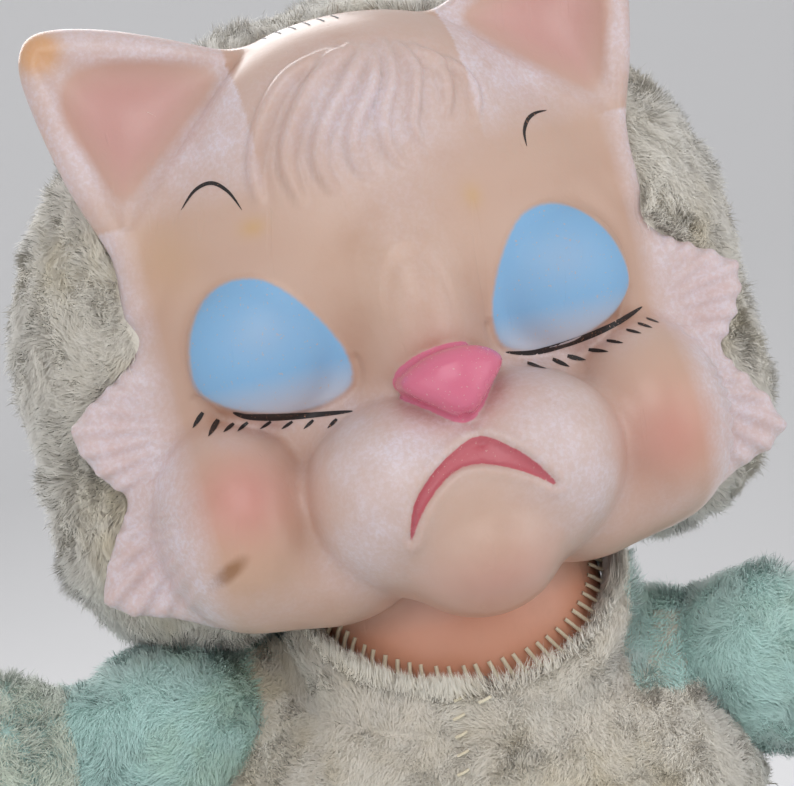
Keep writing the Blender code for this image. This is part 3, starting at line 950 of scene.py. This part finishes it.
def collar(p):
    centre, _, _, up = edge_frame()
    q = p - (centre - up * 5.5)
    height = q @ up
    ring = np.linalg.norm(q - height[..., None] * up, axis=-1) - (EDGE_RADIUS + 4.5)
    return np.hypot(ring, height) - 4.2


def neck_hollow(p):
    return np.linalg.norm(p - NECK, axis=-1) - NECK_RADIUS - 0.4


def main_parts():
    looks = {
        "vinyl": vinyl_look(), "ink": ink_look(), "thread": thread_look(),
        "cream": pile_look("cream_pile", CREAM, CREAM_STAIN),
        "mint": pile_look("mint_pile", MINT, MINT_STAIN),
        "paw": pile_look("paw_pile", PAW, PAW_STAIN),
        "cream_back": backing_look("cream_backing", CREAM, CREAM_STAIN),
        "mint_back": backing_look("mint_backing", MINT, MINT_STAIN),
    }
    mask = face_field()
    tree = make_face(mask, looks["vinyl"])
    make_ink(tree, looks["ink"])
    make_hood(mask, looks)
    make_body(looks)
    for side, sign in SIDES.items():
        make_arm(side, sign, looks)
        make_leg(side, sign, looks)
    make_tail(looks)
    make_stitches(looks["thread"])


def clear_of_face(mask):
    """Moves points of the row frame out of the vinyl, so that the pile lies around it."""

    def push(points):
        head = world_to_head(points)
        depth = mask.at(head)
        high = mask.low + mask.step * np.array(mask.values.shape)
        inside = np.all((head > mask.low) & (head < high), 1)
        need = np.where(inside, np.clip(0.5 - depth, 0, 6), 0)
        return head_to_world(head + mask.slope(head) * need[:, None]) - points

    return push


def make_hood(mask, looks):
    world, quads = cloth(
        "hood", hood_field(), head_to_world, looks["cream_back"], "head",
        ("hood_left", "hood_right", "head_stuffing"),
    )
    rng = np.random.default_rng(11)

    def outside(p):
        head = world_to_head(p)
        return (mask.at(head) > 0.3) * (head[:, 1] > HOOD_LOWEST)

    fine, coarse = (9.0, 6.0, 0.15), (0.62, 7.5, 0.62)
    for name, (density, length, width), place in (
        ("hood_pile_left_top", fine, lambda x, u, d: (d > HOOD_FRONT) & (x >= 0) & (u > 5)),
        ("hood_pile_left", fine, lambda x, u, d: (d > HOOD_FRONT) & (x >= 0) & (u <= 5)),
        ("hood_pile_right_top", fine, lambda x, u, d: (d > HOOD_FRONT) & (x < 0) & (u > 5)),
        ("hood_pile_right", fine, lambda x, u, d: (d > HOOD_FRONT) & (x < 0) & (u <= 5)),
        ("hood_pile_back", coarse, lambda x, u, d: d <= HOOD_FRONT),
    ):
        def keep(p, place=place):
            return outside(p) * place(*world_to_head(p).T)

        spots, normal = sample_surface(world, quads, density, rng, keep)
        comb = np.tile((0.0, 0.15, -0.45), (len(spots), 1))
        pile = grow_pile(name, spots, normal, length, width, comb, looks["cream"], 21,
                         clear_of_face(mask))
        settle(pile, "head")


PANEL_Y = 2.0  # where the chest's cloth meets the back's
HIGH_Z = 118  # fine pile above, coarse pile below
BIB_LEFT, BIB_RIGHT, BIB_TOP = 37, -54, 146  # where the mint shoulders begin


def is_bib(p):
    """Cream in front, mint behind and over the shoulders."""
    shoulder = ((p[:, 0] > BIB_LEFT) | (p[:, 0] < BIB_RIGHT)) & (p[:, 2] > BIB_TOP)
    return (p[:, 1] < PANEL_Y) & ~shoulder


def make_body(looks):
    field = body_field()
    whole = field.values
    for name, look, slot, sign, nodes in (
        ("chest", "cream_back", "cream_plush", 1,
         ("chest_panel_left", "chest_panel_right", "body_stuffing")),
        ("back", "mint_back", "mint_plush", -1,
         ("back_panel_left", "back_panel_right", "seat_panel")),
    ):
        field.values = whole.copy()
        field.keep(lambda p, sign=sign: sign * (p[..., 1] - PANEL_Y) + 0.1)
        cloth(name, field, lambda q: q, looks[look], "torso", nodes)
    field.values = whole
    points, quads = field.surface()
    rng = np.random.default_rng(12)

    def open_air(p):
        return (np.linalg.norm(p - NECK, axis=1) > NECK_RADIUS + 0.1) * (p[:, 2] > 1.5)

    def is_chest(p):
        return is_bib(p) & (p[:, 2] > HIGH_Z)

    def is_upper(p):
        return (p[:, 2] > HIGH_Z) & (p[:, 1] < 34)

    cream, mint = ("cream", "cream_plush"), ("mint", "mint_plush")
    for name, density, length, width, place, (look, slot) in (
        ("chest_pile_left", 11.0, 4.2, 0.14, lambda p: is_chest(p) & (p[:, 0] >= 0), cream),
        ("chest_pile_right", 11.0, 4.2, 0.14, lambda p: is_chest(p) & (p[:, 0] < 0), cream),
        ("belly_pile", 0.7, 8.0, 0.58, lambda p: is_bib(p) & (p[:, 2] <= HIGH_Z), cream),
        ("shoulder_pile", 5.0, 5.2, 0.16, lambda p: ~is_bib(p) & is_upper(p), mint),
        ("back_pile", 0.62, 8.0, 0.62, lambda p: ~is_bib(p) & ~is_upper(p), mint),
    ):
        def keep(p, place=place):
            return open_air(p) * place(p)

        spots, normal = sample_surface(points, quads, density, rng, keep)
        comb = np.tile((0.0, 0.0, -0.55), (len(spots), 1))
        above = np.linalg.norm(spots - NECK, axis=1) < NECK_RADIUS + 12
        comb[above] = unit(spots[above] - NECK) * 0.35
        tuft = above & ((spots[:, 0] < -14) | (spots[:, 0] > 26))
        comb[tuft] = (0.0, -0.2, 1.1)
        pile = grow_pile(name, spots, normal, length, width, comb, looks[look], 31, clear_of_neck)
        settle(pile, "torso")
    make_neck_tufts(rng, looks["cream"])
    make_seam(field, looks["thread"])


def make_neck_tufts(rng, look):
    """Fluff that stands up over the vinyl's edge at both ends of the row of stitches."""
    centre, right, ahead, up = edge_frame()
    spots, normal, comb = [], [], []
    for middle, spread, count in NECK_TUFTS:
        turn = np.radians(rng.normal(middle, spread, int(count * THIN)))[:, None]
        out = right * np.sin(turn) + ahead * np.cos(turn)
        drop = rng.uniform(-1.5, 2.5, len(turn))[:, None]
        ring = EDGE_RADIUS + rng.uniform(1.8, 5.5, len(turn))[:, None]
        spots.append(centre - up * drop + out * ring)
        normal.append(out)
        comb.append(np.repeat(up[None] * 2.6, len(turn), 0))
    pile = grow_pile("neck_fluff", np.concatenate(spots), np.concatenate(normal), 9.0, 0.17,
                     np.concatenate(comb), look, 61, clear_of_neck)
    settle(pile, "torso")


def clear_of_neck(points):
    away = points - NECK
    far = np.linalg.norm(away, axis=1, keepdims=True)
    need = np.clip(NECK_RADIUS + 0.7 - far, 0, 8) * (points[:, 2:3] < NECK[2] + 12)
    return away / far * need


def limb_frame(origin, along, up):
    along, up = np.array(along, float), np.array(up, float)
    turn = np.stack((along, np.cross(up, along), up), 1)
    return lambda q: q @ turn.T + origin


def make_limb(name, field, to_world, looks, parts, comb, keep_out, end, end_look="cream"):
    """Cloth and pile of an arm, a leg or the tail; end picks out the pile of a paw or a sole."""
    nodes = [f"{name}_{part}" for part in parts]
    world, quads = cloth(name, field, to_world, looks["mint_back"], name, nodes)
    rng = np.random.default_rng(41)

    def keep(p):
        return keep_out(p) * (p[:, 2] > 0.8)

    density, width = (7.0, 0.16) if "arm" in name else (0.6, 0.62)
    spots, normal = sample_surface(world, quads, density, rng, keep)
    lean = np.tile(np.array(comb, float), (len(spots), 1))
    length = np.where(normal[:, 2:3] < -0.6, 4.0, 5.4)
    is_end = end(spots)
    for part, chosen, look, slot in (
        ("pile", ~is_end, "mint", "mint_plush"), ("end_pile", is_end, end_look, "cream_plush"),
    ):
        if chosen.any():
            pile = grow_pile(f"{name}_{part}", spots[chosen], normal[chosen], length[chosen],
                             width, lean[chosen], looks[look], 42, off_floor)
            settle(pile, name)


def off_floor(points):
    lift = np.zeros_like(points)
    lift[:, 2] = np.clip(0.5 - points[:, 2], 0, 9)
    return lift


# Along each limb from its joint: where cream pile takes over from mint, and where pile begins
HAND_FROM, SOLE_FROM, LEG_PILE_FROM = 20, 104, -8
ARM_PILE_FROM, TAIL_PILE_FROM = 44, 62  # in x and in y of the row frame


def make_arm(side, sign, looks):
    rise = ARM_RISE[side]
    along = np.array((sign * math.cos(rise), 0, math.sin(rise)))
    up = (-sign * math.sin(rise), 0, math.cos(rise))
    shoulder = SHOULDER * (sign, 1, 1)
    field = Field((-34, -32, -32), (96, 32, 32), CLOTH_STEP)
    field.blob((-3, 0, 0), (24, 20.5, 22), 3)
    field.blob((20, 0, 0), (16, 15.5, 16), 4)
    field.blob((48, -1, 0), (32, 22.5, 24), 3)

    def hand(p):
        return (p - shoulder) @ along > HAND_FROM

    def keep_out(p):
        return np.abs(p[:, 0]) > ARM_PILE_FROM

    make_limb(f"arm_{side}", field, limb_frame(shoulder, along, up), looks,
              ("outer", "inner", "stuffing"), along * 0.35 + (0, 0, -0.3), keep_out, hand, "paw")


def make_leg(side, sign, looks):
    heading = -math.pi / 2 + sign * LEG_SPLAY
    along = np.array((math.cos(heading), math.sin(heading), 0))
    hip = HIP * (sign, 1, 1)
    field = Field((-34, -36, -34), (126, 36, 48), CLOTH_STEP)
    field.blob((0, 0, 0), (25, 22, 23), 3)
    field.blob((36, 0, -3), (34, 21.5, 23), 8)
    field.blob((68, 0, -4), (32, 20.5, 22), 8)
    field.blob((95, 0, 5), (20, 24, 31), 6)
    field.keep(lambda p: np.maximum(-30.6 - p[..., 2], p[..., 0] - 112))

    def sole(p):
        return (p - hip) @ along > SOLE_FROM

    def keep_out(p):
        return (p - hip) @ along > LEG_PILE_FROM

    make_limb(f"leg_{side}", field, limb_frame(hip, along, (0, 0, 1)), looks,
              ("outer", "inner", "sole", "stuffing"), along * 0.25 + (0, 0, -0.3), keep_out, sole)


TAIL_LENGTH, TAIL_BEND, TAIL_RADIUS, TAIL_STEPS = 105, math.radians(70), 8.5, 16


def make_tail(looks):
    share = np.arange(TAIL_STEPS + 1) / TAIL_STEPS
    half, reach = TAIL_BEND * share / 2, TAIL_LENGTH * share
    rise = 1 + 3.125 * np.sin(np.pi * share)
    line = np.stack((reach * np.cos(half), reach * np.sin(half) * 0.9, rise), 1)
    field = Field((-18, -20, -17), (116, 84, 24), 1.5)
    for a, b in zip(line, line[1:]):
        field.bar(a, b, TAIL_RADIUS, 2)
    make_limb("tail", field, limb_frame(TAIL_ROOT, (0, 1, 0), (0, 0, 1)), looks,
              ("outer", "inner", "stuffing"), (0, 0.5, 0), lambda p: p[:, 1] > TAIL_PILE_FROM,
              lambda p: np.zeros(len(p), bool))


# --- stitches


def tube(points, radius, sides=6):
    """Points and quads of a thread along a few points."""
    points = np.array(points, float)
    tangent = unit(np.gradient(points, axis=0))
    side = unit(np.cross(tangent, np.array((0.3, 0.9, 0.4))))
    other = np.cross(tangent, side)
    turn = np.linspace(0, 2 * math.pi, sides, endpoint=False)
    rings = points[:, None] + radius * (
        np.cos(turn)[None, :, None] * side[:, None] + np.sin(turn)[None, :, None] * other[:, None]
    )
    count = len(points)
    quads = []
    for i in range(count - 1):
        for k in range(sides):
            a, b = i * sides + k, i * sides + (k + 1) % sides
            quads.append((a, b, b + sides, a + sides))
    return rings.reshape(-1, 3), np.array(quads)


def join_tubes(name, lines, radii, look):
    tubes = [tube(line, radius) for line, radius in zip(lines, radii)]
    return build_mesh(name, *merge(tubes), look)


SEAM_TOP = 156.0


def make_seam(field, look):
    """Hand stitches down the front of the chest, half sunk in the pile."""
    rng = np.random.default_rng(8)
    lines = []
    depth = np.arange(-75.0, 0.0, 0.25)
    for z in np.arange(SEAM_TOP, 72.0, -4.0):
        x = -8.4 - (SEAM_TOP - z) * 0.1 + rng.uniform(-0.4, 0.4)
        ray = np.stack((np.full(len(depth), x), depth, np.full(len(depth), z)), 1)
        y = depth[np.argmax(field.at(ray) < 0)] - 2.6
        line = [(x + 1.3 * t, y - 0.5 * (1 - t * t), z + 0.5 * t) for t in np.linspace(-1, 1, 6)]
        lines.append(line)
    settle(join_tubes("chest_seam", lines, [0.4] * len(lines), look), "torso")


STITCH_PITCH = 3.3
STITCH_REACH = math.radians(118)  # how far round each side of the throat the stitches run
STITCH_SLANT = 1.5


def make_stitches(look):
    """Whip stitches of thick thread over the vinyl's edge, all round the throat."""
    centre, right, ahead, up = edge_frame()
    rng = np.random.default_rng(7)
    lines, radii = [], []
    for i in range(int(2 * STITCH_REACH * EDGE_RADIUS / STITCH_PITCH)):
        turn = STITCH_PITCH / EDGE_RADIUS * (i + rng.uniform(-0.12, 0.12)) - STITCH_REACH
        line = []
        for t in np.linspace(0, 1, 7):
            angle = turn - STITCH_SLANT / EDGE_RADIUS * (t - 0.5) * 2
            out = right * math.sin(angle) + ahead * math.cos(angle)
            climb = -4.6 + 7.6 * t
            lift = 1.2 * math.sin(math.pi * t) ** 0.6 - 0.5
            if climb > 0:
                height = EDGE_DROP + climb
                ring = math.sqrt(max(NECK_RADIUS**2 - height**2, 1))
            else:
                ring = EDGE_RADIUS + 0.35 - climb * 0.75
            line.append(centre + up * climb + out * (ring + lift + 0.3))
        lines.append(line)
        radii.append(0.52 * rng.uniform(0.9, 1.12))
    stitches = join_tubes("neck_stitches", lines, radii, look)
    settle(stitches, "torso")
    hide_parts("neck_thread")


# --- light, floor and camera

CAMERA_DISTANCE = 0.55
CAMERA_AZIMUTH = math.radians(-7.5)
CAMERA_ROLL = math.radians(6.2)
AIM = (-9.3, -16.3, 54.0)  # the middle of the view, in head coordinates
VIEW_ANGLE = 2 * math.atan(0.0893 / CAMERA_DISTANCE)


FLOOR_REACH, WALL_Y, SWEEP = 3000, 1700, 600  # the curve between floor and wall has radius SWEEP


def stand_floor():
    look = Nodes("pale_floor")
    look.set(Base_Color=(0.8, 0.8, 0.81), Roughness=0.8)
    turn = np.radians(np.linspace(0, 90, 13))
    bend = zip(WALL_Y + SWEEP * (np.sin(turn) - 1), SWEEP * (1 - np.cos(turn)))
    profile = [(-FLOOR_REACH, 0), *bend, (WALL_Y, FLOOR_REACH)]
    points = np.array([(x, y, z) for y, z in profile for x in (-FLOOR_REACH, FLOOR_REACH)], float)
    first = 2 * np.arange(len(profile) - 1)[:, None]
    build_mesh("floor", points, first + (0, 1, 3, 2), look.material)


def area_light(name, place, aim, size, power):
    light = bpy.data.lights.new(name, "AREA")
    light.size, light.energy = size, power
    made = add_object(name, light)
    made.location = place
    made.rotation_euler = (Vector(aim) - Vector(place)).to_track_quat("-Z", "Y").to_euler()


def set_light():
    world = bpy.data.worlds.new("studio")
    bpy.context.scene.world = world
    world.use_nodes = True
    background = world.node_tree.nodes["Background"]
    background.inputs["Color"].default_value = (0.99, 0.99, 1.0, 1)
    background.inputs["Strength"].default_value = 0.57
    aim = (0, 0, 0.2)
    area_light("key", (-0.15, -1.0, 0.75), aim, 0.6, 2.2)
    area_light("front", (-0.7, -0.9, 0.15), aim, 0.9, 2.0)
    area_light("fill", (0.9, -0.7, 0.4), aim, 0.9, 2.6)
    area_light("rim", (-0.3, 0.9, 0.9), aim, 0.8, 7)
    bpy.context.scene.view_settings.view_transform = "Standard"


def set_camera():
    aim = Vector(head_to_world(np.array([AIM]))[0] / 1000)
    back = Vector((math.sin(CAMERA_AZIMUTH), -math.cos(CAMERA_AZIMUTH), 0))
    data = bpy.data.cameras.new("camera")
    data.sensor_width = 36
    data.lens = 18 / math.tan(VIEW_ANGLE / 2)
    camera = add_object("camera", data)
    camera.location = aim + back * CAMERA_DISTANCE
    look = (-back).to_track_quat("-Z", "Y").to_matrix().to_4x4()
    turn = look @ Matrix.Rotation(-CAMERA_ROLL, 4, "Z")
    camera.rotation_euler = turn.to_euler()
    bpy.context.scene.camera = camera


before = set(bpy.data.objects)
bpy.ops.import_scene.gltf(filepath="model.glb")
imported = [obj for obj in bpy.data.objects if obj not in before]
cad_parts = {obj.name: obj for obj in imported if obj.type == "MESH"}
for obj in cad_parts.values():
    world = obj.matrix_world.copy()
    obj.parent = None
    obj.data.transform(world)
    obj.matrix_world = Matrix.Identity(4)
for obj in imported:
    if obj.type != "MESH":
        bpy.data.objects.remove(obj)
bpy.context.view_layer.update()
neck = bpy.data.objects["neck_stuffing"].data
neck.materials.clear()
neck.materials.append(backing_look("neck_cloth", CREAM, CREAM_STAIN))
stand_floor()
set_light()
set_camera()
main_parts()
